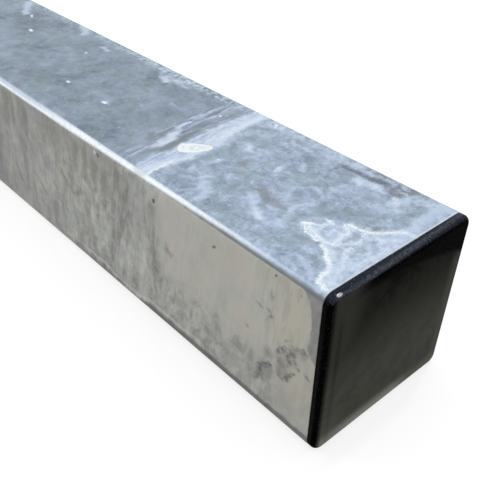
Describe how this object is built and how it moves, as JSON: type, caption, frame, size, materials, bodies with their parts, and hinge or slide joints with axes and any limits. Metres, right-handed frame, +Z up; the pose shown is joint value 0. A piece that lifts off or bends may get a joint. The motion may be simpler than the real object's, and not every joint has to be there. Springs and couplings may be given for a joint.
{
  "type": "metal fence post",
  "caption": "Square galvanised steel box-section fence post lying on its side, open at the ground end and closed at the top end by a black moulded push-in cap.",
  "frame": {"origin": "middle of the underside of the lying post, half way along its overall length", "axes": "+X along the post towards the capped top end, +Z up as the post lies, +Y completes the frame"},
  "size_m": [1.8056, 0.1, 0.1],
  "materials": {
    "galvanised_steel": "hot-dip galvanised, satin, with dull mottling, pale zinc stains and light dirt",
    "cap_plastic": "black moulded plastic, satin, slightly dusty"
  },
  "bodies": {
    "root": {"post_tube": "galvanised_steel", "end_cap": "cap_plastic"}
  },
  "joints": []
}
